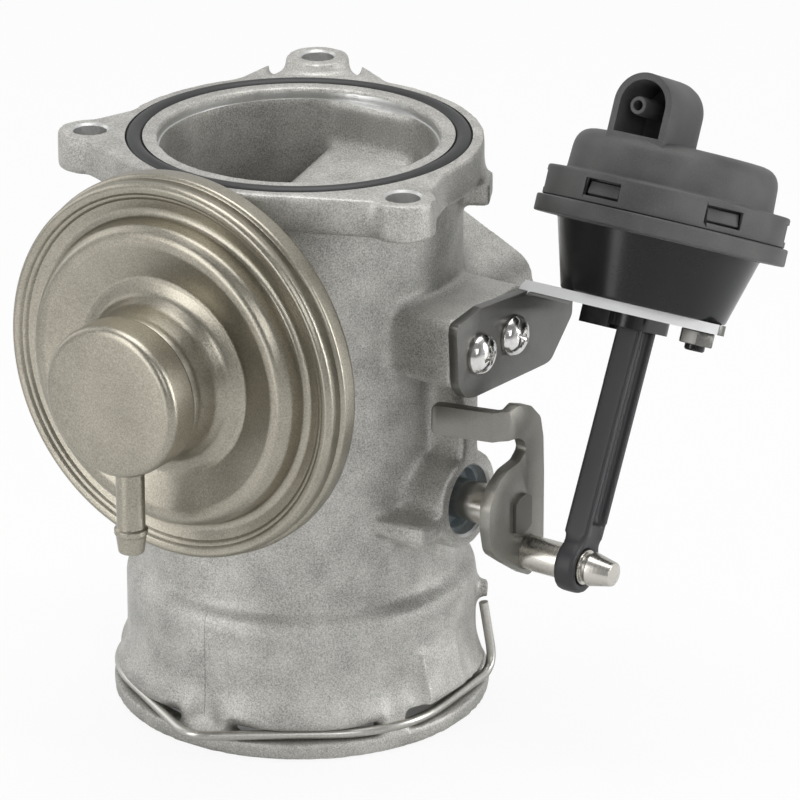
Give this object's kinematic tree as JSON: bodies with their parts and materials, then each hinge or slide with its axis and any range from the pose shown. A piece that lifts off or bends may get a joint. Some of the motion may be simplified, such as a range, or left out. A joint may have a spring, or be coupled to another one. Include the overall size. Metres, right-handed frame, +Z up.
{
  "type": "egr valve",
  "caption": "Throttled exhaust gas recirculation valve: cast flanged body with spring clip inlet, vacuum can on its side and a vacuum actuator that turns the flap by a rod and lever.",
  "frame": {"origin": "centre of the inlet ring at its lower face, on the axis of the main bore", "axes": "+Z up the main bore from the inlet ring to the outlet flange, +X outwards along the throttle shaft to the lever, +Y to the exhaust flange and -Y to the vacuum can"},
  "size_m": [0.1293, 0.12, 0.1334],
  "materials": {
    "cast_alloy": "as cast, fine pale speckle, machined on the sealing faces",
    "black_rubber": "smooth moulded rubber",
    "spring_wire": "drawn wire, lightly oiled",
    "gasket_paper": "dark fibre sheet",
    "plated_steel": "warm passivated plating with a fine grain",
    "screw_steel": "bright nickel plating",
    "turned_steel": "bright turned",
    "bronze": "sintered bearing metal",
    "flap_brass": "rolled sheet",
    "pale_seal": "pale grey-blue sealing lip",
    "lever_steel": "tumbled grey plating",
    "coated_sheet": "dark smooth coating with bare cut edges",
    "gloss_black": "moulded, semi-gloss",
    "matte_black": "moulded, finely textured"
  },
  "bodies": {
    "housing": {"valve_housing": "cast_alloy", "flange_o_ring": "black_rubber", "can_gasket": "gasket_paper", "can_rear_shell": "plated_steel", "can_front_cover": "plated_steel", "can_end_cup": "plated_steel", "can_nipple": "plated_steel", "can_screws": "screw_steel", "valve_seat": "turned_steel", "stem_guide": "bronze", "front_shaft_bush": "bronze", "rear_shaft_bush": "bronze", "shaft_seal": "pale_seal", "rear_shaft_plug": "turned_steel", "actuator_bracket": "coated_sheet", "bracket_screws": "screw_steel", "actuator_lower_body": "gloss_black", "actuator_nut": "screw_steel", "actuator_cover": "matte_black", "egr_diaphragm": "black_rubber", "egr_spring": "spring_wire", "actuator_diaphragm": "black_rubber", "actuator_spring": "spring_wire"},
    "throttle": {"throttle_shaft": "turned_steel", "throttle_flap": "flap_brass", "flap_screws": "screw_steel", "throttle_lever": "lever_steel", "lever_pin": "turned_steel"},
    "rod": {"actuator_rod": "gloss_black"},
    "piston": {"actuator_piston": "plated_steel"},
    "gas_valve": {"valve_stem": "turned_steel", "valve_poppet": "turned_steel", "diaphragm_rear_plate": "plated_steel", "diaphragm_front_plate": "plated_steel", "stem_nut": "screw_steel"},
    "clip": {"retaining_clip": "spring_wire"}
  },
  "joints": [
    {"name": "throttle_turn", "type": "hinge", "parent": "housing", "child": "throttle", "pos_m": [0, 0, 0.0489], "axis": [1, 0, 0], "range_deg": [0, 78], "stiffness_Nm_per_rad": 0.08, "springref_deg": -28.65},
    {"name": "rod_swing", "type": "hinge", "parent": "throttle", "child": "rod", "pos_m": [0.063, 0.0026, 0.0399], "axis": [1, 0, 0], "range_deg": [-75, 0]},
    {"name": "piston_lift", "type": "slide", "parent": "housing", "child": "piston", "axis": [0, 0.4067, 0.9135], "range_m": [0, 0.0116], "deforming": ["actuator_diaphragm", "actuator_spring"]},
    {"name": "egr_lift", "type": "slide", "parent": "housing", "child": "gas_valve", "axis": [0, -1, 0], "range_m": [0, 0.005], "stiffness_N_per_m": 2000, "springref_m": -0.004, "deforming": ["egr_diaphragm", "egr_spring"]},
    {"name": "clip_pull", "type": "slide", "parent": "housing", "child": "clip", "axis": [0.0523, -0.9986, 0], "range_m": [0, 0.0012], "stiffness_N_per_m": 800}
  ],
  "couplings": [
    {"joint": "rod_swing", "follows": "throttle_turn", "ratio": -0.946},
    {"joint": "piston_lift", "follows": "throttle_turn", "m_per_rad": 0.0085}
  ]
}
